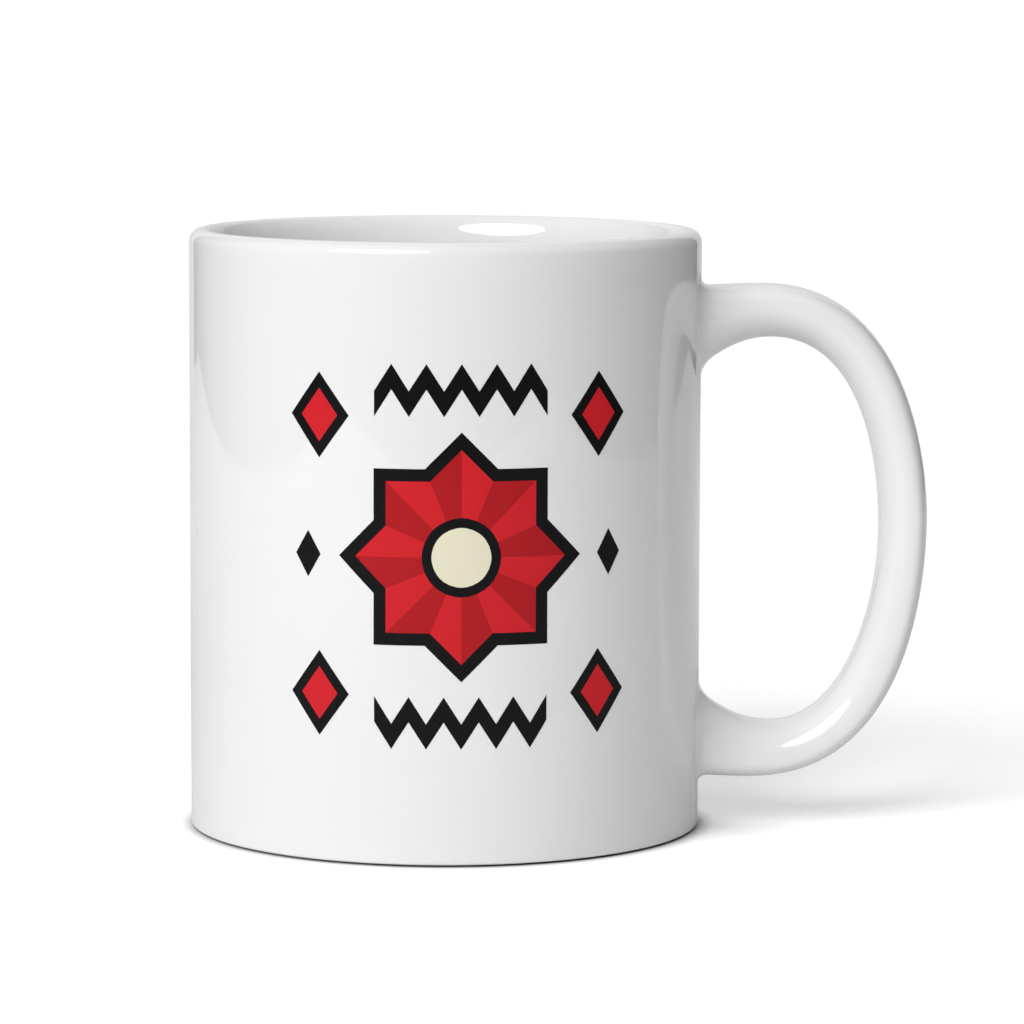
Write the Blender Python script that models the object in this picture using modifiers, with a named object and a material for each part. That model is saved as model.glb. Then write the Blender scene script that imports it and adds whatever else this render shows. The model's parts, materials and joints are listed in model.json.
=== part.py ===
# A straight-sided ceramic mug with a looped handle, glazed and fired as one piece.
# Units are metres and +Z is up. +X points along the handle and the front faces -Y.
# The origin is on the standing surface, in the middle of the mug's footprint.

import math

import bmesh
import bpy
from mathutils import Vector
from mathutils.geometry import interpolate_bezier

# Cup
CUP_RADIUS = 0.0410
CUP_HEIGHT = 0.0960
WALL = 0.0042
LIP_ROUND = 0.0020
LIP_TAPER = 0.0055
FLOOR_TOP = 0.0062
INNER_CORNER = 0.0090
BASE_ROUND = 0.0004

# Foot ring under the cup, which stands it clear of the surface by BASE_LIFT
BASE_LIFT = 0.0003
FOOT_OUTER = 0.0376
FOOT_INNER = 0.0338
FOOT_SLOPE = 0.0003
RECESS_DEPTH = 0.0018
RECESS_SLOPE = 0.0016

# Handle rails in the plane y = 0, as (distance from the cup's axis, height) where
# the rail is level above, upright at the side and level below. The reaches say how
# far each end of the two curves between them runs straight on.
OUTER_RAIL = {
    "above": (0.0510, 0.0874),
    "side": (0.0773, 0.0501),
    "below": (0.0490, 0.0081),
    "reaches": (0.0238, 0.0073, 0.0135, 0.0246),
}
INNER_RAIL = {
    "above": (0.0520, 0.0789),
    "side": (0.0696, 0.0486),
    "below": (0.0525, 0.0170),
    "reaches": (0.0155, 0.0084, 0.0144, 0.0111),
}
HANDLE_WIDTH = 0.0130

# The handle's section is widest at SECTION_CROWN, as a share of the way from its
# middle to the outer rail. A power of 2 makes an ellipse, more a squarer side.
SECTION_CROWN = 0.28
OUTER_POWER = 3.2
INNER_POWER = 2.0

# Where the handle meets the wall: a small fillet all round, and a longer taper on
# the finger loop's side. Each runs a reach along the handle and a spread along the
# wall. The outer rail dips a little towards the wall.
ROOT_REACH = 0.0018
ROOT_SPREAD = 0.0016
THROAT_REACH = 0.0110
THROAT_SPREAD = 0.0048
ARM_DIP = {"above": 0.0007, "below": 0.0004}
ROOT_SINK = 0.0015
ROOT_START = 0.0002

# Facets
CUP_STEPS = 72
SECTION_SIDES = 24
BEND_RINGS = 13
ROOT_RINGS = 8
ROOT_SPACING = 1.6

# The handle makes the footprint longer on one side, so the cup's axis is off centre
AXIS_X = -(OUTER_RAIL["side"][0] - CUP_RADIUS) / 2

GLAZE_COLOUR = (0.86, 0.86, 0.87, 1.0)
GLAZE_ROUGHNESS = 0.08


def clear_scene():
    for item in list(bpy.data.objects):
        bpy.data.objects.remove(item, do_unlink=True)


def make_collection(name):
    collection = bpy.data.collections.new(name)
    bpy.context.scene.collection.children.link(collection)
    return collection


def glaze_material():
    material = bpy.data.materials.new("white_glaze")
    material.use_nodes = True
    shader = material.node_tree.nodes["Principled BSDF"]
    shader.inputs["Base Color"].default_value = GLAZE_COLOUR
    shader.inputs["Roughness"].default_value = GLAZE_ROUGHNESS
    shader.inputs["Metallic"].default_value = 0.0
    return material


def arc(centre, reach_out, reach_up, start_deg, end_deg, pieces):
    # Part of an ellipse with level and upright half-sizes reach_out and reach_up
    points = []
    for step in range(pieces + 1):
        angle = math.radians(start_deg + (end_deg - start_deg) * step / pieces)
        out = centre[0] + reach_out * math.cos(angle)
        up = centre[1] + reach_up * math.sin(angle)
        points.append((out, up))
    return points


def cup_profile():
    # From the middle of the inside floor, up the inside, over the lip, down the
    # outside and under the foot ring to the middle of the underside
    inner_radius = CUP_RADIUS - WALL
    lip_radius = CUP_RADIUS - LIP_ROUND
    corner_centre = (inner_radius - INNER_CORNER, FLOOR_TOP + INNER_CORNER)
    inner_lip_centre = (lip_radius, CUP_HEIGHT - LIP_TAPER)
    outer_lip_centre = (lip_radius, CUP_HEIGHT - LIP_ROUND)
    base_centre = (CUP_RADIUS - BASE_ROUND, BASE_LIFT + BASE_ROUND)
    profile = [(0.0, FLOOR_TOP)]
    profile += arc(corner_centre, INNER_CORNER, INNER_CORNER, -90, 0, 6)
    profile += arc(inner_lip_centre, WALL - LIP_ROUND, LIP_TAPER, 180, 90, 6)
    profile += arc(outer_lip_centre, LIP_ROUND, LIP_ROUND, 90, 0, 4)[1:]
    profile += arc(base_centre, BASE_ROUND, BASE_ROUND, 0, -90, 4)
    profile.append((FOOT_OUTER + FOOT_SLOPE, BASE_LIFT))
    profile.append((FOOT_OUTER, 0.0))
    profile.append((FOOT_INNER, 0.0))
    profile.append((FOOT_INNER - RECESS_SLOPE, RECESS_DEPTH))
    profile.append((0.0, RECESS_DEPTH))
    return profile


def make_cup(collection, material):
    mesh = bpy.data.meshes.new("mug")
    shape = bmesh.new()
    corners = [shape.verts.new((radius, 0.0, height)) for radius, height in cup_profile()]
    for first, second in zip(corners, corners[1:]):
        shape.edges.new((first, second))
    shape.to_mesh(mesh)
    shape.free()
    mesh.materials.append(material)
    cup = bpy.data.objects.new("mug", mesh)
    cup.location.x = AXIS_X
    collection.objects.link(cup)
    screw = cup.modifiers.new("turn", "SCREW")
    screw.axis = "Z"
    screw.steps = CUP_STEPS
    screw.render_steps = CUP_STEPS
    screw.use_merge_vertices = True
    screw.merge_threshold = 0.00005
    screw.use_smooth_shade = True
    return cup


def rail_points(rail):
    # The rail's two curves, from the level point above to the level point below
    above = Vector(rail["above"])
    side = Vector(rail["side"])
    below = Vector(rail["below"])
    out_above, up_side, down_side, out_below = rail["reaches"]
    upper = interpolate_bezier(
        above, above + Vector((out_above, 0.0)), side + Vector((0.0, up_side)), side, BEND_RINGS
    )
    lower = interpolate_bezier(
        side, side - Vector((0.0, down_side)), below + Vector((out_below, 0.0)), below, BEND_RINGS
    )
    return upper + lower[1:]


def section(count):
    # A rounded oval with half-sizes of one: first across the handle, from the outer
    # rail (+1) to the inner rail (-1), then along its width
    points = []
    for step in range(count):
        angle = 2 * math.pi * step / count
        cosine = math.cos(angle)
        sine = math.sin(angle)
        power = OUTER_POWER if cosine > 0 else INNER_POWER
        reach = 1 - SECTION_CROWN if cosine > 0 else 1 + SECTION_CROWN
        across = SECTION_CROWN + math.copysign(reach * abs(cosine) ** (2 / power), cosine)
        along = math.copysign(abs(sine) ** (2 / power), sine)
        points.append((across, along))
    return points


def fillet(distance, reach, spread):
    # How far an elliptical fillet stands out, at a distance from the wall
    if distance >= reach:
        return 0.0
    return spread * (1 - math.sqrt(1 - (1 - distance / reach) ** 2))


def taper(distance, reach, spread):
    # How far a curve stands out that fades evenly to nothing at its reach
    if distance >= reach:
        return 0.0
    return spread * (1 - distance / reach) ** 2


def bend_rings():
    rings = []
    for outer, inner in zip(rail_points(OUTER_RAIL), rail_points(INNER_RAIL)):
        middle = (outer + inner) / 2
        half = (outer - inner) / 2
        ring = []
        for across, along in section(SECTION_SIDES):
            spot = middle + half * across
            ring.append((spot.x, along * HANDLE_WIDTH / 2, spot.y))
        rings.append(ring)
    return rings


def wall_distance(y):
    # How far the cup's outer wall lies from the plane x = 0 through its axis
    return math.sqrt(CUP_RADIUS ** 2 - y ** 2)


def root_ring(end_ring, centre_height, throat_side, dip, share):
    # A copy of the handle's end ring, carried back towards the curved wall: share is
    # 0 at the wall and 1 at the ring itself. It spreads near the wall.
    # throat_side is -1 where the finger loop lies below the arm, +1 where above.
    ring = []
    for x, y, z in end_ring:
        outward = Vector((y, z - centre_height)).normalized()
        throat = max(0.0, outward.y * throat_side)
        back = max(0.0, -outward.y * throat_side)
        full_distance = x - wall_distance(y)
        distance = ROOT_START + (full_distance - ROOT_START) * share
        gap = max(distance, ROOT_START)
        step_out = fillet(gap, ROOT_REACH, ROOT_SPREAD)
        step_out += throat * taper(gap, THROAT_REACH, THROAT_SPREAD)
        step_out -= back * taper(gap, full_distance, dip)
        new_y = y + outward.x * step_out
        ring.append((wall_distance(new_y) + distance, new_y, z + outward.y * step_out))
    return ring


def root_rings(end_ring, rail_key, throat_side):
    # From inside the wall to just short of the end ring, close together at the wall
    centre_height = (OUTER_RAIL[rail_key][1] + INNER_RAIL[rail_key][1]) / 2
    arm_length = end_ring[0][0] - CUP_RADIUS
    shares = [-ROOT_SINK / arm_length]
    shares += [(step / ROOT_RINGS) ** ROOT_SPACING for step in range(ROOT_RINGS)]
    dip = ARM_DIP[rail_key]
    return [root_ring(end_ring, centre_height, throat_side, dip, share) for share in shares]


def make_handle(collection):
    bend = bend_rings()
    upper = root_rings(bend[0], "above", -1)
    lower = root_rings(bend[-1], "below", 1)
    rings = upper + bend + lower[::-1]
    shape = bmesh.new()
    loops = [[shape.verts.new(spot) for spot in ring] for ring in rings]
    for first, second in zip(loops, loops[1:]):
        for side in range(SECTION_SIDES):
            after = (side + 1) % SECTION_SIDES
            shape.faces.new((first[side], first[after], second[after], second[side]))
    shape.faces.new(loops[0])
    shape.faces.new(loops[-1])
    bmesh.ops.recalc_face_normals(shape, faces=shape.faces)
    mesh = bpy.data.meshes.new("handle")
    shape.to_mesh(mesh)
    shape.free()
    handle = bpy.data.objects.new("handle", mesh)
    handle.location.x = AXIS_X
    handle.hide_render = True
    handle.display_type = "WIRE"
    collection.objects.link(handle)
    return handle


def join(cup, handle):
    union = cup.modifiers.new("join_handle", "BOOLEAN")
    union.operation = "UNION"
    union.solver = "EXACT"
    union.object = handle


def main():
    clear_scene()
    mug_parts = make_collection("ceramic_mug")
    guides = make_collection("guides")
    cup = make_cup(mug_parts, glaze_material())
    handle = make_handle(guides)
    join(cup, handle)


main()
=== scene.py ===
import json
import math

import bmesh
import bpy
from mathutils import Matrix, Vector
from mathutils.geometry import interpolate_bezier

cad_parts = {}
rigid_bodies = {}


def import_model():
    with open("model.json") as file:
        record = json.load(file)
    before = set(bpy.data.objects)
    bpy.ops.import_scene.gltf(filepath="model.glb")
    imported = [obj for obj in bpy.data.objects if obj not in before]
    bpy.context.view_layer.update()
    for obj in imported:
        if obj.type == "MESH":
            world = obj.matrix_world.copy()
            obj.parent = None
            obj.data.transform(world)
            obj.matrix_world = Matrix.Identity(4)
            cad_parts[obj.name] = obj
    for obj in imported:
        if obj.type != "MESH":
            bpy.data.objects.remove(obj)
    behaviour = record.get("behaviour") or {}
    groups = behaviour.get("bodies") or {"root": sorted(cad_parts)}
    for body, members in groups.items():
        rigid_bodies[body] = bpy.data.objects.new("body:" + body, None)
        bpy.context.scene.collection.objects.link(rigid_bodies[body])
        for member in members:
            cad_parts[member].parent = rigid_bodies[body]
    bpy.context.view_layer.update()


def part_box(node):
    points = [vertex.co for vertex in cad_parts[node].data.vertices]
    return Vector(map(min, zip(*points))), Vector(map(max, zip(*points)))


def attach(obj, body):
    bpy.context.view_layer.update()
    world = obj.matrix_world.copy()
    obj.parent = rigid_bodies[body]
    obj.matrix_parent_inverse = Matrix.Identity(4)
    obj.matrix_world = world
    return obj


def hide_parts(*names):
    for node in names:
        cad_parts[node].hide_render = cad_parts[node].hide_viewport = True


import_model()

mugLow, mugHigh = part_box("mug")

# where the cup stands in the frame
cupRadius = (mugHigh.y - mugLow.y) / 2
cupHeight = mugHigh.z
axisX = mugLow.x + cupRadius  # the handle puts the cup off the middle
mm = 0.001


# small helpers for working in edit mode

def deselectEverything():
    if bpy.context.object and bpy.context.object.mode != "OBJECT":
        bpy.ops.object.mode_set(mode="OBJECT")
    for item in bpy.context.view_layer.objects:
        item.select_set(False)
    bpy.context.view_layer.objects.active = None


def makeActive(item):
    deselectEverything()
    item.select_set(True)
    bpy.context.view_layer.objects.active = item


def editMesh():
    return bmesh.from_edit_mesh(bpy.context.object.data)


def selectFaces(test):
    # select the faces whose centre and normal pass the test, in face mode
    bpy.ops.mesh.select_mode(type="FACE")
    bpy.ops.mesh.select_all(action="DESELECT")
    shape = editMesh()
    for face in shape.faces:
        face.select_set(test(face.calc_center_median(), face.normal))
    bmesh.update_edit_mesh(bpy.context.object.data)


def selectRingEdges(radius, height, slack=0.05 * mm):
    # select the edges that run round the cup at one radius and height
    bpy.ops.mesh.select_mode(type="EDGE")
    bpy.ops.mesh.select_all(action="DESELECT")
    shape = editMesh()
    for edge in shape.edges:
        onRing = all(
            abs(math.hypot(v.co.x - axisX, v.co.y) - radius) < slack and abs(v.co.z - height) < slack
            for v in edge.verts
        )
        edge.select_set(onRing)
    bmesh.update_edit_mesh(bpy.context.object.data)


def applyModifiers(item):
    makeActive(item)
    for modifier in list(item.modifiers):
        bpy.ops.object.modifier_apply(modifier=modifier.name)


def finishPlace(item):
    # the object ends at the origin, with its place in its mesh
    makeActive(item)
    bpy.ops.object.transform_apply(location=True, rotation=True, scale=True)


# shader groups that more than one finish uses

def newGroup(name, inputs, output, outputKind):
    group = bpy.data.node_groups.new(name, "ShaderNodeTree")
    for label, value, low, high in inputs:
        socket = group.interface.new_socket(label, in_out="INPUT", socket_type="NodeSocketFloat")
        socket.default_value = value
        socket.min_value = low
        socket.max_value = high
    group.interface.new_socket(output, in_out="OUTPUT", socket_type=outputKind)
    entry = group.nodes.new("NodeGroupInput")
    leave = group.nodes.new("NodeGroupOutput")
    return group, entry, leave


def setInputs(node, values):
    for label, value in values.items():
        node.inputs[label].default_value = value


# what the glaze and the inks on it share
surface = {
    "waveScale": 55.0,
    "waveDetail": 1.0,
    "peelScale": 1400.0,
    "peelDetail": 2.0,
    "peelShare": 0.06,  # the peel is far finer than the waves
    "height": 0.4 * mm,
    "rippleStrength": 0.02,
    "markDetail": 4.0,
}


def glazeRippleGroup():
    # the slow waves and fine orange peel of a poured glaze, as a normal
    inputs = [
        ("Wave Scale", surface["waveScale"], 1.0, 1000.0),
        ("Peel Scale", surface["peelScale"], 10.0, 5000.0),
        ("Strength", surface["rippleStrength"], 0.0, 1.0),
    ]
    group, entry, leave = newGroup("glazeRipple", inputs, "Normal", "NodeSocketVector")
    place = group.nodes.new("ShaderNodeTexCoord")
    wave = group.nodes.new("ShaderNodeTexNoise")
    peel = group.nodes.new("ShaderNodeTexNoise")
    blend = group.nodes.new("ShaderNodeMath")
    bump = group.nodes.new("ShaderNodeBump")
    wave.inputs["Detail"].default_value = surface["waveDetail"]
    peel.inputs["Detail"].default_value = surface["peelDetail"]
    blend.operation = "MULTIPLY_ADD"
    blend.inputs[1].default_value = surface["peelShare"]
    bump.inputs["Distance"].default_value = surface["height"]
    link = group.links.new
    link(place.outputs["Object"], wave.inputs["Vector"])
    link(place.outputs["Object"], peel.inputs["Vector"])
    link(entry.outputs["Wave Scale"], wave.inputs["Scale"])
    link(entry.outputs["Peel Scale"], peel.inputs["Scale"])
    link(peel.outputs["Fac"], blend.inputs[0])
    link(wave.outputs["Fac"], blend.inputs[2])
    link(blend.outputs[0], bump.inputs["Height"])
    link(entry.outputs["Strength"], bump.inputs["Strength"])
    link(bump.outputs["Normal"], leave.inputs["Normal"])
    return group


def polishWearGroup():
    # faint handling marks: roughness that drifts a little over the surface
    inputs = [
        ("Base", 0.06, 0.0, 1.0),
        ("Spread", 0.03, 0.0, 1.0),
        ("Scale", 45.0, 1.0, 1000.0),
    ]
    group, entry, leave = newGroup("polishWear", inputs, "Roughness", "NodeSocketFloat")
    place = group.nodes.new("ShaderNodeTexCoord")
    marks = group.nodes.new("ShaderNodeTexNoise")
    spread = group.nodes.new("ShaderNodeMath")
    marks.inputs["Detail"].default_value = surface["markDetail"]
    spread.operation = "MULTIPLY_ADD"
    link = group.links.new
    link(place.outputs["Object"], marks.inputs["Vector"])
    link(entry.outputs["Scale"], marks.inputs["Scale"])
    link(marks.outputs["Fac"], spread.inputs[0])
    link(entry.outputs["Spread"], spread.inputs[1])
    link(entry.outputs["Base"], spread.inputs[2])
    link(spread.outputs[0], leave.inputs["Roughness"])
    return group


glazeRipple = glazeRippleGroup()
polishWear = polishWearGroup()
print("shader groups ready")


def newMaterial(name):
    material = bpy.data.materials.new(name)
    material.use_nodes = True
    nodes = material.node_tree.nodes
    return material, nodes, material.node_tree.links.new, nodes["Principled BSDF"]


def addGroup(nodes, group, values):
    node = nodes.new("ShaderNodeGroup")
    node.node_tree = group
    setInputs(node, values)
    return node


def addRipple(nodes):
    values = {"Wave Scale": surface["waveScale"], "Peel Scale": surface["peelScale"]}
    return addGroup(nodes, glazeRipple, {**values, "Strength": surface["rippleStrength"]})


def addPolish(nodes, finish):
    values = {"Base": finish["roughness"], "Spread": finish["roughnessDrift"], "Scale": finish["markScale"]}
    return addGroup(nodes, polishWear, values)


# white glaze, with the bare clay of the foot ring's standing face

glaze = {
    "colour": (0.87, 0.87, 0.875, 1.0),
    "thinColour": (0.80, 0.795, 0.78, 1.0),  # a shade warmer where the glaze runs thin
    "clayColour": (0.62, 0.58, 0.52, 1.0),
    "cloudScale": 28.0,  # how the glaze's depth drifts
    "cloudDetail": 3.0,
    "thinFrom": 0.45,
    "thinTo": 0.95,
    "thinMost": 0.35,
    "roughness": 0.016,
    "roughnessDrift": 0.012,
    "markScale": 40.0,
    "clayRoughness": 0.85,
    "clayTop": 0.12 * mm,  # fully bare below clayFull, fully glazed above clayTop
    "clayFull": 0.048 * mm,
    "clayShade": 0.82,  # the darker of the clay's grains
    "gritScale": 1800.0,
    "gritDetail": 4.0,
    "ior": 1.52,
}


def glazeMaterial():
    material, nodes, link, shader = newMaterial("whiteGlaze")
    ripple = addRipple(nodes)
    polish = addPolish(nodes, glaze)
    place = nodes.new("ShaderNodeTexCoord")
    split = nodes.new("ShaderNodeSeparateXYZ")
    cloud = nodes.new("ShaderNodeTexNoise")  # uneven glaze depth
    thin = nodes.new("ShaderNodeMapRange")
    tint = nodes.new("ShaderNodeMix")
    bare = nodes.new("ShaderNodeMapRange")
    grit = nodes.new("ShaderNodeTexNoise")
    gritTone = nodes.new("ShaderNodeMix")
    colour = nodes.new("ShaderNodeMix")
    rough = nodes.new("ShaderNodeMix")
    for mix in (tint, gritTone, colour):
        mix.data_type = "RGBA"
    darkClay = tuple(tone * glaze["clayShade"] for tone in glaze["clayColour"][:3]) + (1.0,)
    setInputs(cloud, {"Scale": glaze["cloudScale"], "Detail": glaze["cloudDetail"]})
    setInputs(thin, {"From Min": glaze["thinFrom"], "From Max": glaze["thinTo"], "To Max": glaze["thinMost"]})
    setInputs(tint, {"A": glaze["colour"], "B": glaze["thinColour"]})
    setInputs(bare, {"From Min": glaze["clayTop"], "From Max": glaze["clayFull"]})
    setInputs(grit, {"Scale": glaze["gritScale"], "Detail": glaze["gritDetail"]})
    setInputs(gritTone, {"A": glaze["clayColour"], "B": darkClay})
    rough.inputs["B"].default_value = glaze["clayRoughness"]
    link(place.outputs["Object"], cloud.inputs["Vector"])
    link(place.outputs["Object"], grit.inputs["Vector"])
    link(place.outputs["Object"], split.inputs["Vector"])
    link(cloud.outputs["Fac"], thin.inputs["Value"])
    link(thin.outputs["Result"], tint.inputs["Factor"])
    link(split.outputs["Z"], bare.inputs["Value"])
    link(grit.outputs["Fac"], gritTone.inputs["Factor"])
    link(tint.outputs["Result"], colour.inputs["A"])
    link(gritTone.outputs["Result"], colour.inputs["B"])
    link(bare.outputs["Result"], colour.inputs["Factor"])
    link(bare.outputs["Result"], rough.inputs["Factor"])
    link(polish.outputs["Roughness"], rough.inputs["A"])
    link(colour.outputs["Result"], shader.inputs["Base Color"])
    link(rough.outputs["Result"], shader.inputs["Roughness"])
    link(ripple.outputs["Normal"], shader.inputs["Normal"])
    setInputs(shader, {"IOR": glaze["ior"], "Metallic": 0.0})
    return material


# printed inks, a little duller than the glaze round them

inks = {
    "blackInk": (0.004, 0.004, 0.005, 1.0),
    "redInk": (0.640, 0.016, 0.024, 1.0),
    "darkRedInk": (0.440, 0.010, 0.015, 1.0),
    "creamInk": (0.820, 0.780, 0.590, 1.0),
}
inkFinish = {
    "roughness": 0.16,
    "roughnessDrift": 0.04,
    "markScale": 60.0,
    "mottleScale": 900.0,
    "mottleDetail": 3.0,
    "mottle": 0.004,  # the share of bare glaze that shows through
    "ior": 1.5,
    "shine": 0.12,
}


def inkMaterial(name, tone):
    # flat to the eye, with a faint mottle close up
    material, nodes, link, shader = newMaterial(name)
    ripple = addRipple(nodes)
    polish = addPolish(nodes, inkFinish)
    place = nodes.new("ShaderNodeTexCoord")
    mottle = nodes.new("ShaderNodeTexNoise")
    amount = nodes.new("ShaderNodeMath")
    colour = nodes.new("ShaderNodeMix")
    colour.data_type = "RGBA"
    amount.operation = "MULTIPLY"
    amount.inputs[1].default_value = inkFinish["mottle"]
    setInputs(mottle, {"Scale": inkFinish["mottleScale"], "Detail": inkFinish["mottleDetail"]})
    setInputs(colour, {"A": tone, "B": glaze["colour"]})
    link(place.outputs["Object"], mottle.inputs["Vector"])
    link(mottle.outputs["Fac"], amount.inputs[0])
    link(amount.outputs[0], colour.inputs["Factor"])
    link(colour.outputs["Result"], shader.inputs["Base Color"])
    link(polish.outputs["Roughness"], shader.inputs["Roughness"])
    link(ripple.outputs["Normal"], shader.inputs["Normal"])
    setInputs(shader, {"IOR": inkFinish["ior"], "Specular IOR Level": inkFinish["shine"]})
    return material


# the cup: its profile is drawn from the middle of the floor, up over the lip and
# down to the middle of the underside, then spun round the cup's axis

cup = {
    "spinSteps": 256,
    "wall": 4.2 * mm,
    "printRoom": 0.045 * mm,  # the wall stands back this far for the print on it
    "lipRound": 2.0 * mm,
    "lipTaper": 5.5 * mm,  # how far down the inside the lip thins out
    "floorTop": 6.2 * mm,
    "floorCorner": 9.0 * mm,
    "baseRound": 0.4 * mm,
    "baseLift": 0.3 * mm,  # the outer edge floats this far above the table
    "footOuter": 37.6 * mm,
    "footInner": 33.8 * mm,
    "footSlope": 0.3 * mm,
    "recess": 1.8 * mm,
    "recessSlope": 1.6 * mm,
    "cornerSteps": {"floor": 14, "innerLip": 16, "outerLip": 10, "base": 8},
    "footSoftness": (0.14 * mm, 3),  # each bevel's width and segments
    "innerFootSoftness": (0.28 * mm, 4),
    "recessSoftness": (0.5 * mm, 4),
    "weldReach": 0.01 * mm,
    "supportGap": 0.7 * mm,  # loops that keep the long wall's shading straight
    "supportAt": (0.3, 0.6),  # and two more, as shares of the height
}
wallRadius = cupRadius - cup["printRoom"]


def arcSpots(centre, out, up, startTurn, endTurn, steps):
    # part of an ellipse with level and upright half-sizes out and up
    turns = [math.radians(startTurn + (endTurn - startTurn) * i / steps) for i in range(steps + 1)]
    return [(centre[0] + out * math.cos(turn), centre[1] + up * math.sin(turn)) for turn in turns]


def cupProfile():
    # (distance from the axis, height), all the way round the clay
    inner = wallRadius - cup["wall"]
    lip = wallRadius - cup["lipRound"]
    corner, soft, base = cup["floorCorner"], cup["lipRound"], cup["baseRound"]
    steps = cup["cornerSteps"]
    spots = [(0.0, cup["floorTop"]), ((inner - corner) / 2, cup["floorTop"])]
    spots += arcSpots((inner - corner, cup["floorTop"] + corner), corner, corner, -90, 0, steps["floor"])
    innerLip = (lip, cupHeight - cup["lipTaper"])
    spots += arcSpots(innerLip, lip - inner, cup["lipTaper"], 180, 90, steps["innerLip"])
    spots += arcSpots((lip, cupHeight - soft), soft, soft, 90, 0, steps["outerLip"])[1:]
    spots += arcSpots((wallRadius - base, cup["baseLift"] + base), base, base, 0, -90, steps["base"])
    spots += [(cup["footOuter"] + cup["footSlope"], cup["baseLift"]), (cup["footOuter"], 0.0)]
    spots += [(cup["footInner"], 0.0), (cup["footInner"] - cup["recessSlope"], cup["recess"])]
    spots += [(cup["footInner"] / 2, cup["recess"]), (0.0, cup["recess"])]
    return [Vector((axisX + out, 0.0, height)) for out, height in spots]


def bevelRing(radius, height, softness):
    width, segments = softness
    selectRingEdges(radius, height)
    bpy.ops.mesh.bevel(offset_type="OFFSET", offset=width, segments=segments, profile=0.5, clamp_overlap=False)


def cutLevel(height):
    # a level loop right through the cup
    bpy.ops.mesh.select_all(action="SELECT")
    bpy.ops.mesh.bisect(plane_co=(axisX, 0.0, height), plane_no=(0.0, 0.0, 1.0))


def buildCup():
    deselectEverything()
    spots = cupProfile()
    bpy.ops.mesh.primitive_plane_add(size=mm, location=spots[0])
    body = bpy.context.object
    body.name = "mugCup"
    finishPlace(body)
    bpy.ops.object.mode_set(mode="EDIT")
    bpy.ops.mesh.select_mode(type="VERT")
    bpy.ops.mesh.merge(type="CENTER")
    for here, there in zip(spots, spots[1:]):
        bpy.ops.mesh.extrude_region_move(TRANSFORM_OT_translate={"value": there - here})
    bpy.ops.mesh.select_all(action="SELECT")
    bpy.ops.mesh.spin(
        steps=cup["spinSteps"], angle=2 * math.pi, center=(axisX, 0.0, 0.0), axis=(0.0, 0.0, 1.0)
    )
    bpy.ops.mesh.select_all(action="SELECT")
    bpy.ops.mesh.remove_doubles(threshold=cup["weldReach"])
    bpy.ops.mesh.normals_make_consistent(inside=False)
    # soften the foot ring's edges
    bevelRing(cup["footOuter"], 0.0, cup["footSoftness"])
    bevelRing(cup["footInner"], 0.0, cup["innerFootSoftness"])
    bevelRing(cup["footInner"] - cup["recessSlope"], cup["recess"], cup["recessSoftness"])
    # support loops
    top = cupHeight - cup["lipTaper"]
    foot = cup["baseLift"] + cup["baseRound"]
    loops = [foot + cup["supportGap"], top - cup["supportGap"]]
    for height in loops + [cupHeight * share for share in cup["supportAt"]]:
        cutLevel(height)
    bpy.ops.object.mode_set(mode="OBJECT")
    return body


# the handle: a ring drawn out along two rails, flaring where it joins the wall

handle = {
    "outerAbove": (51.0 * mm, 87.4 * mm),  # (distance from the cup's axis, height)
    "outerSide": (mugHigh.x - axisX, 50.1 * mm),
    "outerBelow": (49.0 * mm, 8.1 * mm),
    "outerReach": (23.8 * mm, 7.3 * mm, 13.5 * mm, 24.6 * mm),
    "innerAbove": (52.0 * mm, 78.9 * mm),
    "innerSide": (69.6 * mm, 48.6 * mm),
    "innerBelow": (52.5 * mm, 17.0 * mm),
    "innerReach": (15.5 * mm, 8.4 * mm, 14.4 * mm, 11.1 * mm),
    "width": 13.0 * mm,
    "crown": 0.28,  # the section is widest this share of the way to the outer rail
    "outerPower": 3.2,  # 2 is an ellipse, more is squarer
    "innerPower": 2.0,
    "sides": 64,
    "bendRings": 36,
    "rootRings": 22,
    "rootSpacing": 2.6,
    "rootReach": 1.8 * mm,  # a small fillet all round
    "rootSpread": 1.6 * mm,
    "throatReach": 11.0 * mm,  # and a longer taper inside the finger loop
    "throatSpread": 4.8 * mm,
    "dipAbove": 0.7 * mm,  # the outer rail pulls in this much on its way to the wall
    "dipBelow": 0.4 * mm,
    "skin": 0.015 * mm,  # the fillet's last loop stands this far off the wall
    "sink": 1.5 * mm,
}


def railCurve(above, side, below, reach):
    outAbove, upSide, downSide, outBelow = reach
    above, side, below = Vector(above), Vector(side), Vector(below)
    count = handle["bendRings"]
    upper = interpolate_bezier(above, above + Vector((outAbove, 0)), side + Vector((0, upSide)), side, count)
    lower = interpolate_bezier(side, side - Vector((0, downSide)), below + Vector((outBelow, 0)), below, count)
    return upper + lower[1:]


def ovalPoints():
    # (across, along) round the handle's section, each from -1 to 1
    points = []
    for step in range(handle["sides"]):
        angle = 2 * math.pi * step / handle["sides"]
        across, along = math.cos(angle), math.sin(angle)
        outward = across > 0
        power = 2 / (handle["outerPower"] if outward else handle["innerPower"])
        reach = 1 - handle["crown"] if outward else 1 + handle["crown"]
        across = handle["crown"] + math.copysign(reach * abs(across) ** power, across)
        points.append((across, math.copysign(abs(along) ** power, along)))
    return points


def wallAt(y):
    return math.sqrt(wallRadius ** 2 - y ** 2)


def filletStep(distance, reach, spread):
    if distance >= reach:
        return 0.0
    return spread * (1 - math.sqrt(1 - (1 - distance / reach) ** 2))


def taperStep(distance, reach, spread):
    if distance >= reach:
        return 0.0
    return spread * (1 - distance / reach) ** 2


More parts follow.
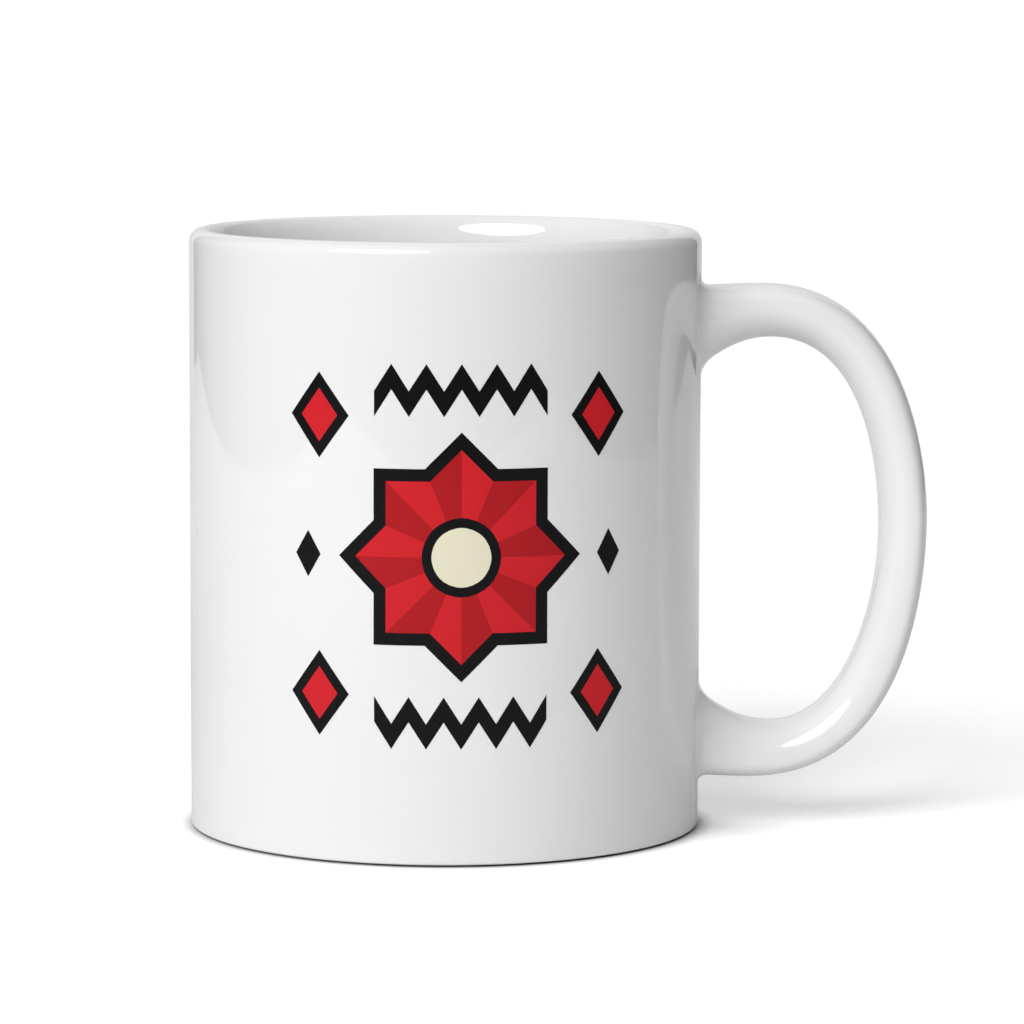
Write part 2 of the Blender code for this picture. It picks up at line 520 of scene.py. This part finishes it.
def rootRing(endRing, middle, loopSide, dip, share):
    # the end ring carried back towards the wall: share is 1 at the ring, 0 at the wall
    ring = []
    for x, y, z in endRing:
        outward = Vector((y, z - middle)).normalized()
        full = x - wallAt(y)
        distance = handle["skin"] + (full - handle["skin"]) * share
        gap = max(distance, handle["skin"])
        step = filletStep(gap, handle["rootReach"], handle["rootSpread"])
        step += max(0.0, outward.y * loopSide) * taperStep(gap, handle["throatReach"], handle["throatSpread"])
        step -= max(0.0, -outward.y * loopSide) * taperStep(gap, full, dip)
        newY = y + outward.x * step
        ring.append((wallAt(newY) + distance, newY, z + outward.y * step))
    return ring


def rootRings(endRing, outerEnd, innerEnd, loopSide, dip):
    middle = (outerEnd[1] + innerEnd[1]) / 2
    shares = [(step / handle["rootRings"]) ** handle["rootSpacing"] for step in range(handle["rootRings"])]
    buried = -handle["sink"] / (endRing[0][0] - wallRadius)
    return [rootRing(endRing, middle, loopSide, dip, share) for share in [buried] + shares]


def handleRings():
    outer = railCurve(handle["outerAbove"], handle["outerSide"], handle["outerBelow"], handle["outerReach"])
    inner = railCurve(handle["innerAbove"], handle["innerSide"], handle["innerBelow"], handle["innerReach"])
    bend = []
    for out, into in zip(outer, inner):
        middle, half = (out + into) / 2, (out - into) / 2
        spots = [(middle + half * across, along) for across, along in ovalPoints()]
        bend.append([(spot.x, along * handle["width"] / 2, spot.y) for spot, along in spots])
    upper = rootRings(bend[0], handle["outerAbove"], handle["innerAbove"], -1, handle["dipAbove"])
    lower = rootRings(bend[-1], handle["outerBelow"], handle["innerBelow"], 1, handle["dipBelow"])
    rings = upper + bend + lower[::-1]
    return [[Vector((x + axisX, y, z)) for x, y, z in ring] for ring in rings]


def moveSelectedRing(fromSpots, toSpots):
    # each selected corner goes from its spot on one ring to the same spot on the next
    shape = editMesh()
    picked = [corner for corner in shape.verts if corner.select]
    targets = []
    for corner in picked:
        nearest = min(range(len(fromSpots)), key=lambda i: (fromSpots[i] - corner.co).length_squared)
        targets.append(toSpots[nearest])
    for corner, target in zip(picked, targets):
        corner.co = target
    bmesh.update_edit_mesh(bpy.context.object.data)


def buildHandle():
    deselectEverything()
    rings = handleRings()
    bpy.ops.mesh.primitive_circle_add(vertices=handle["sides"], radius=handle["width"] / 2, fill_type="NGON")
    bow = bpy.context.object
    bow.name = "mugHandle"
    start = [corner.co.copy() for corner in bow.data.vertices]
    bpy.ops.object.mode_set(mode="EDIT")
    bpy.ops.mesh.select_mode(type="VERT")
    moveSelectedRing(start, rings[0])
    for fromSpots, toSpots in zip(rings, rings[1:]):
        bpy.ops.mesh.select_mode(type="FACE")
        bpy.ops.mesh.extrude_region_move()
        moveSelectedRing(fromSpots, toSpots)
    bpy.ops.mesh.select_all(action="SELECT")
    bpy.ops.mesh.normals_make_consistent(inside=False)
    bpy.ops.object.mode_set(mode="OBJECT")
    return bow


def joinMug():
    # one body of clay: the handle is welded on, and the shading is carried over
    # from the separate shapes so that no seam shows in the gloss
    body = buildCup()
    bow = buildHandle()
    for item in (body, bow):
        makeActive(item)
        bpy.ops.object.shade_smooth()
    makeActive(body)
    bow.select_set(True)
    bpy.ops.object.duplicate()
    bpy.ops.object.join()
    guide = bpy.context.object
    guide.name = "shadingGuide"
    makeActive(body)
    weld = body.modifiers.new("weld", "BOOLEAN")
    weld.operation = "UNION"
    weld.solver = "EXACT"
    weld.object = bow
    bpy.ops.object.modifier_apply(modifier=weld.name)
    carry = body.modifiers.new("carryShading", "DATA_TRANSFER")
    carry.object = guide
    carry.use_loop_data = True
    carry.data_types_loops = {"CUSTOM_NORMAL"}
    carry.loop_mapping = "POLYINTERP_NEAREST"
    bpy.ops.object.modifier_apply(modifier=carry.name)
    for helper in (bow, guide):
        bpy.data.objects.remove(helper, do_unlink=True)
    body.name = "glazedMug"
    return body


mug = joinMug()
mug.data.materials.clear()
mug.data.materials.append(glazeMaterial())
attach(mug, "root")
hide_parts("mug")
print("mug:", len(mug.data.polygons), "faces")


# the printed ornament: a star panel drawn flat in millimetres, then wrapped on the wall

ornament = {
    "turn": math.radians(5.5),  # the panel's middle, from the front towards the handle
    "middleHeight": 48.0 * mm,
    "outline": 1.9,  # sizes are in mm on the flat panel from here to stripShift
    "starTip": 19.2,
    "starPoints": 8,
    "edgeCuts": 2,  # extra corners along each side of the star, to round the eye
    "ringStart": 0.1,  # the inset that is then pushed round to the eye's outline
    "eye": 4.6,
    "eyeOutline": 1.5,
    "cornerAt": (22.6, 21.5),
    "cornerHalf": (5.0, 6.6),
    "cornerOutline": 1.5,
    "sideAt": 24.6,
    "sideHalf": (2.2, 3.6),
    "bandAt": 25.6,
    "bandHalfLength": 13.5,
    "bandTeeth": 5,
    "bandRise": 4.2,
    "bandWidth": 2.1,
    "stripWidth": 0.8,  # how finely the drawing is cut so that it bends
    "stripShift": 0.013,  # keeps the cuts off the drawing's own corners
    "edgeAngle": math.radians(30),
    "lift": 0.012 * mm,
    "thickness": 0.03 * mm,
}
inkOrder = ["blackInk", "redInk", "darkRedInk", "creamInk"]


def inkSelected(inkName):
    bpy.context.object.active_material_index = inkOrder.index(inkName)
    bpy.ops.object.material_slot_assign()


def roundSelected(radius):
    # push the selected outline out or in to a circle about the panel's middle
    for corner in editMesh().verts:
        if corner.select:
            corner.co *= radius / corner.co.length
    bmesh.update_edit_mesh(bpy.context.object.data)


def drawStar():
    # a 16-sided circle with every other corner pulled in, as two overlaid squares
    points = ornament["starPoints"]
    shape = editMesh()
    for corner in shape.verts:
        turn = math.atan2(corner.co.x, corner.co.y) * points / math.pi
        corner.select_set(round(turn) % 2 == 1)
    valley = math.cos(math.pi / 4) / math.cos(math.pi / points)
    bpy.ops.transform.resize(value=(valley, valley, 1), center_override=(0, 0, 0))
    bpy.ops.mesh.select_all(action="SELECT")
    bpy.ops.mesh.subdivide(number_cuts=ornament["edgeCuts"])
    bpy.ops.mesh.edge_face_add()
    bpy.ops.mesh.select_mode(type="FACE")
    bpy.ops.mesh.inset(thickness=ornament["outline"])
    inkSelected("redInk")
    bpy.ops.mesh.inset(thickness=ornament["ringStart"])
    roundSelected(ornament["eye"] + ornament["eyeOutline"])
    inkSelected("blackInk")
    bpy.ops.mesh.inset(thickness=ornament["eyeOutline"])
    inkSelected("creamInk")
    # the facets between the eye and the outline take turns between the two reds
    red = inkOrder.index("redInk")
    bpy.ops.mesh.select_all(action="DESELECT")
    for face in editMesh().faces:
        middle = face.calc_center_median()
        facet = math.floor(math.atan2(middle.x, middle.y) * points / math.pi)
        face.select_set(face.material_index == red and facet % 2 == 1)
    inkSelected("darkRedInk")


def drawLozenge(spot, half):
    bpy.ops.mesh.primitive_circle_add(vertices=4, radius=1, fill_type="NGON", location=(*spot, 0))
    bpy.ops.transform.resize(value=(*half, 1), center_override=(*spot, 0))


def drawCorners():
    # one outlined lozenge, copied to the other three corners
    x, y = ornament["cornerAt"]
    drawLozenge((x, y), ornament["cornerHalf"])
    bpy.ops.mesh.inset(thickness=ornament["cornerOutline"])
    inkSelected("redInk")
    bpy.ops.mesh.select_linked()
    for shift in ((-2 * x, 0, 0), (0, -2 * y, 0), (2 * x, 0, 0)):
        bpy.ops.mesh.duplicate_move(TRANSFORM_OT_translate={"value": shift})


def drawSides():
    drawLozenge((ornament["sideAt"], 0), ornament["sideHalf"])
    bpy.ops.mesh.duplicate_move(TRANSFORM_OT_translate={"value": (-2 * ornament["sideAt"], 0, 0)})


def drawBand(side):
    # a strip of squares with every other column lifted into a zigzag
    columns = 2 * ornament["bandTeeth"]
    length = 2 * ornament["bandHalfLength"]
    step = length / columns
    slope = math.hypot(step, ornament["bandRise"])
    drop = ornament["bandWidth"] * slope / step  # the strip's width, straight up and down
    spot = (0, (ornament["bandAt"] - ornament["bandRise"] / 2) * side, 0)
    bpy.ops.mesh.primitive_grid_add(x_subdivisions=columns, y_subdivisions=1, size=1, location=spot)
    bpy.ops.transform.resize(value=(length, drop, 1), center_override=spot)
    bpy.ops.mesh.select_mode(type="VERT")
    for corner in editMesh().verts:
        column = round((corner.co.x + ornament["bandHalfLength"]) / step)
        corner.select_set(corner.select and column % 2 == 1)
    bpy.ops.transform.translate(value=(0, ornament["bandRise"] * side, 0))
    bpy.ops.mesh.select_mode(type="FACE")


def wrapOnWall(item):
    # flat x is an arc length round the wall and flat y a height
    skin = wallRadius + ornament["lift"]
    for corner in item.data.vertices:
        angle = ornament["turn"] + corner.co.x * mm / wallRadius
        height = ornament["middleHeight"] + corner.co.y * mm
        corner.co = Vector((axisX + skin * math.sin(angle), -skin * math.cos(angle), height))


def buildPrint():
    deselectEverything()
    bpy.ops.mesh.primitive_circle_add(
        vertices=ornament["starPoints"] * 2, radius=ornament["starTip"], fill_type="NOTHING"
    )
    panel = bpy.context.object
    panel.name = "printPanel"
    for inkName in inkOrder:
        panel.data.materials.append(inkMaterial(inkName, inks[inkName]))
    bpy.ops.object.mode_set(mode="EDIT")
    bpy.ops.mesh.select_mode(type="VERT")
    drawStar()
    drawCorners()
    drawSides()
    drawBand(1)
    drawBand(-1)
    reach = max(abs(corner.co.x) for corner in editMesh().verts)
    cuts = int(reach / ornament["stripWidth"])
    for step in range(-cuts, cuts + 1):
        across = step * ornament["stripWidth"] + ornament["stripShift"]
        bpy.ops.mesh.select_all(action="SELECT")
        bpy.ops.mesh.bisect(plane_co=(across, 0, 0), plane_no=(1, 0, 0))
    # every face the same way up, then one piece for each ink
    bpy.ops.mesh.select_all(action="SELECT")
    bpy.ops.mesh.normals_make_consistent(inside=False)
    selectFaces(lambda centre, normal: normal.z < 0)
    bpy.ops.mesh.flip_normals()
    bpy.ops.object.mode_set(mode="OBJECT")
    wrapOnWall(panel)
    bpy.ops.mesh.separate(type="MATERIAL")
    return [item for item in bpy.context.selected_objects if item.type == "MESH"]


pieceNames = {
    "blackInk": ("printBlack", "black_print"),
    "redInk": ("printRed", "red_print"),
    "darkRedInk": ("printDarkRed", "red_print"),
    "creamInk": ("printCream", "cream_print"),
}
for piece in buildPrint():
    inkName = piece.active_material.name
    piece.name, slotName = pieceNames[inkName]
    makeActive(piece)
    coat = piece.modifiers.new("coat", "SOLIDIFY")
    coat.thickness = ornament["thickness"]
    coat.offset = 1.0
    applyModifiers(piece)
    bpy.ops.object.shade_smooth_by_angle(angle=ornament["edgeAngle"])
    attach(piece, "root")
    print("print:", piece.name, len(piece.data.polygons), "faces,", inkName)


# floor, lights and camera

studio = {
    "tableSize": (6.0, 8.0),
    "paperHalf": (0.60, 0.68),  # half the white paper's width and depth
    "paperMiddle": 0.08,  # how far its middle lies behind the mug
    "paperEdge": 0.01,  # its sides blend into the table over this width
    "paperColour": (0.80, 0.80, 0.80, 1.0),
    "paperRoughness": 0.9,
    "paperShine": 0.15,
    "tableColour": (0.06, 0.06, 0.06, 1.0),
    "seenColour": (1.35, 1.35, 1.35, 1.0),  # the camera's exposure lifts the paper to white
    "paintedShadeReach": 2.8 * mm,  # painted contact shadow: the paper darkens this close to the foot
    "paintedShadeDepth": 1.0,
    "paintedShadeSamples": 16,
    "fadeStart": 0.03,  # the floor melts into the white background from here
    "fadeEnd": 0.20,
    "glowStart": 0.15,  # behind the mug the lit paper shows in its glaze from here
    "glowEnd": 0.35,
    "glowStrength": 0.15,
    "cardStrength": 0.72,
    "worldFill": 0.13,
    "whiteSeen": 1.02,
    "backdropAt": (-0.045, 0.76),
    "backdropSize": (0.80, 1.2),
    "lampDistance": 1.4,
    "mirrored": ("keySoftbox",),  # round and seen in the glaze, the others aren't
    # each softbox: turn from the front towards the handle and rise above the floor,
    # both in degrees, then width and height in metres and power in watts
    "softboxes": {
        "keySoftbox": (-30, 34, 1.06, 0.78, 14.8),
        "frontSoftbox": (0, 20, 1.00, 0.80, 1.3),
        "topSoftbox": (0, 90, 1.00, 1.00, 2.9),
        "leftSoftbox": (-100, 25, 0.90, 0.70, 1.4),
        "rightSoftbox": (75, 52, 0.90, 0.90, 0.6),
        "backSoftbox": (140, 45, 0.90, 0.90, 3.3),
    },
}


def paperMaterial():
    # a sheet of white paper on a dark table, with a painted contact shadow round the foot; the camera sees
    # only white round it
    material, nodes, link, shader = newMaterial("studioPaper")
    setInputs(shader, {"Roughness": studio["paperRoughness"], "Specular IOR Level": studio["paperShine"]})
    place = nodes.new("ShaderNodeTexCoord")
    split = nodes.new("ShaderNodeSeparateXYZ")
    aside = nodes.new("ShaderNodeMath")
    along = nodes.new("ShaderNodeMath")
    alongEdge = nodes.new("ShaderNodeMapRange")
    outside = nodes.new("ShaderNodeMath")
    edge = nodes.new("ShaderNodeMapRange")
    colour = nodes.new("ShaderNodeMix")
    far = nodes.new("ShaderNodeVectorMath")
    fade = nodes.new("ShaderNodeMapRange")
    path = nodes.new("ShaderNodeLightPath")
    paintedShadeOcclusion = nodes.new("ShaderNodeAmbientOcclusion")
    paintedShadeTone = nodes.new("ShaderNodeMath")
    seenToneWithPaintedShade = nodes.new("ShaderNodeVectorMath")
    seen = nodes.new("ShaderNodeBsdfDiffuse")
    white = nodes.new("ShaderNodeEmission")
    backdrop = nodes.new("ShaderNodeMixShader")
    pick = nodes.new("ShaderNodeMixShader")
    behind = nodes.new("ShaderNodeMapRange")
    glow = nodes.new("ShaderNodeMix")
    halfWide, halfDeep = studio["paperHalf"]
    aside.operation = "ABSOLUTE"
    along.operation = "COMPARE"  # 1 on the paper, 0 in front of it and behind it
    along.inputs[1].default_value = studio["paperMiddle"]
    along.inputs[2].default_value = halfDeep
    setInputs(alongEdge, {"To Min": 1.0, "To Max": 0.0})
    outside.operation = "MAXIMUM"
    setInputs(edge, {"From Min": halfWide, "From Max": halfWide + studio["paperEdge"]})
    colour.data_type = "RGBA"
    setInputs(colour, {"A": studio["paperColour"], "B": studio["tableColour"]})
    far.operation = "LENGTH"
    fade.interpolation_type = "SMOOTHSTEP"
    setInputs(fade, {"From Min": studio["fadeStart"], "From Max": studio["fadeEnd"]})
    # painted shade: ambient occlusion darkens the paper the camera sees near the foot, a painted contact
    # shadow
    paintedShadeOcclusion.samples = studio["paintedShadeSamples"]
    paintedShadeOcclusion.inputs["Distance"].default_value = studio["paintedShadeReach"]
    paintedShadeTone.operation = "POWER"
    paintedShadeTone.inputs[1].default_value = studio["paintedShadeDepth"]
    seenToneWithPaintedShade.operation = "SCALE"
    seenToneWithPaintedShade.inputs[0].default_value = studio["seenColour"][:3]
    white.inputs["Strength"].default_value = studio["whiteSeen"]
    setInputs(behind, {"From Min": studio["glowStart"], "From Max": studio["glowEnd"]})
    behind.inputs["To Max"].default_value = studio["glowStrength"]
    glow.data_type = "FLOAT"
    glow.inputs["B"].default_value = 0.0  # the dark table outside the paper doesn't glow
    shader.inputs["Emission Color"].default_value = (1.0, 1.0, 1.0, 1.0)
    link(place.outputs["Object"], split.inputs["Vector"])
    link(split.outputs["X"], aside.inputs[0])
    link(aside.outputs[0], edge.inputs["Value"])
    link(split.outputs["Y"], along.inputs[0])
    link(along.outputs[0], alongEdge.inputs["Value"])
    link(edge.outputs["Result"], outside.inputs[0])
    link(alongEdge.outputs["Result"], outside.inputs[1])
    link(outside.outputs[0], colour.inputs["Factor"])
    link(colour.outputs["Result"], shader.inputs["Base Color"])
    link(split.outputs["Y"], behind.inputs["Value"])
    link(behind.outputs["Result"], glow.inputs["A"])
    link(outside.outputs[0], glow.inputs["Factor"])
    link(glow.outputs["Result"], shader.inputs["Emission Strength"])
    link(place.outputs["Object"], far.inputs[0])
    link(far.outputs["Value"], fade.inputs["Value"])
    link(fade.outputs["Result"], backdrop.inputs[0])
    link(seen.outputs["BSDF"], backdrop.inputs[1])
    link(white.outputs["Emission"], backdrop.inputs[2])
    # the painted contact shadow scales the paper's colour as the camera sees it
    link(paintedShadeOcclusion.outputs["AO"], paintedShadeTone.inputs[0])
    link(paintedShadeTone.outputs[0], seenToneWithPaintedShade.inputs["Scale"])
    link(seenToneWithPaintedShade.outputs[0], seen.inputs["Color"])
    link(path.outputs["Is Camera Ray"], pick.inputs[0])
    link(shader.outputs["BSDF"], pick.inputs[1])
    link(backdrop.outputs["Shader"], pick.inputs[2])
    link(pick.outputs["Shader"], nodes["Material Output"].inputs["Surface"])
    return material


def buildFloor():
    deselectEverything()
    bpy.ops.mesh.primitive_plane_add(size=1.0, location=(0, 1.0, 0))
    floor = bpy.context.object
    floor.name = "studioFloor"
    floor.scale = (*studio["tableSize"], 1.0)
    finishPlace(floor)
    floor.data.materials.append(paperMaterial())


def buildBackdrop():
    # the upright white card behind the mug, which its glaze mirrors at the limbs
    deselectEverything()
    wide, tall = studio["backdropSize"]
    bpy.ops.mesh.primitive_plane_add(
        size=1.0, location=(*studio["backdropAt"], tall / 2), rotation=(math.pi / 2, 0, 0)
    )
    card = bpy.context.object
    card.name = "studioBackdrop"
    card.scale = (wide, tall, 1.0)
    finishPlace(card)
    card.visible_camera = False  # so it doesn't stand in the way of views from behind
    material, nodes, link, shader = newMaterial("studioCard")
    setInputs(shader, {"Base Color": (0.0, 0.0, 0.0, 1.0), "Specular IOR Level": 0.0})
    setInputs(shader, {"Emission Color": (1.0, 1.0, 1.0, 1.0), "Emission Strength": studio["cardStrength"]})
    card.data.materials.append(material)


def softbox(name, turn, rise, width, height, power):
    turn, rise = math.radians(turn), math.radians(rise)
    mirrored = name in studio["mirrored"]
    aim = Vector((axisX, 0, cupHeight / 2))
    away = Vector((math.sin(turn) * math.cos(rise), -math.cos(turn) * math.cos(rise), math.sin(rise)))
    lamp = bpy.data.lights.new(name, "AREA")
    lamp.shape = "ELLIPSE" if mirrored else "RECTANGLE"
    lamp.size = width
    lamp.size_y = height
    lamp.energy = power
    item = bpy.data.objects.new(name, lamp)
    item.location = aim + away * studio["lampDistance"]
    item.rotation_euler = (-away).to_track_quat("-Z", "Y").to_euler()
    item.visible_glossy = mirrored
    bpy.context.scene.collection.objects.link(item)


def buildWorld():
    # white to the eye, dimmer as a light, as in a studio with a lit white sweep
    world = bpy.data.worlds.new("studioWorld")
    bpy.context.scene.world = world
    world.use_nodes = True
    nodes = world.node_tree.nodes
    link = world.node_tree.links.new
    nodes.clear()
    out = nodes.new("ShaderNodeOutputWorld")
    fill = nodes.new("ShaderNodeBackground")
    seen = nodes.new("ShaderNodeBackground")
    pick = nodes.new("ShaderNodeMixShader")
    path = nodes.new("ShaderNodeLightPath")
    setInputs(fill, {"Color": (1.0, 1.0, 1.0, 1.0), "Strength": studio["worldFill"]})
    setInputs(seen, {"Color": (1.0, 1.0, 1.0, 1.0), "Strength": studio["whiteSeen"]})
    link(path.outputs["Is Camera Ray"], pick.inputs["Fac"])
    link(fill.outputs["Background"], pick.inputs[1])
    link(seen.outputs["Background"], pick.inputs[2])
    link(pick.outputs["Shader"], out.inputs["Surface"])


shot = {
    "turn": math.radians(2.0),  # round the cup from the front, towards the handle
    "distance": 779.2 * mm,
    "height": 140.1 * mm,
    "lens": 171.36,
    "sensor": 36.0,
    "clip": (0.05, 50.0),
    "pitch": math.radians(6.57),
    "yaw": math.radians(0.79),
    "roll": math.radians(0.19),
}


def buildCamera():
    heading = shot["turn"] - shot["yaw"]
    ahead = Vector((-math.sin(heading), math.cos(heading), 0)) * math.cos(shot["pitch"])
    ahead.z = -math.sin(shot["pitch"])
    right = Vector((math.cos(heading), math.sin(heading), 0))
    up = right.cross(ahead)
    tilt = Matrix.Rotation(shot["roll"], 3, -ahead)
    axes = Matrix((tilt @ right, tilt @ up, -ahead)).transposed()
    lens = bpy.data.cameras.new("photoCamera")
    lens.lens = shot["lens"]
    lens.sensor_width = shot["sensor"]
    lens.clip_start, lens.clip_end = shot["clip"]
    camera = bpy.data.objects.new("photoCamera", lens)
    camera.matrix_world = axes.to_4x4()
    camera.location = (
        axisX + shot["distance"] * math.sin(shot["turn"]),
        -shot["distance"] * math.cos(shot["turn"]),
        shot["height"],
    )
    bpy.context.scene.collection.objects.link(camera)
    bpy.context.scene.camera = camera


buildFloor()
buildBackdrop()
for name, numbers in studio["softboxes"].items():
    softbox(name, *numbers)
buildWorld()
buildCamera()
bpy.context.scene.view_settings.view_transform = "Standard"
print("studio ready")
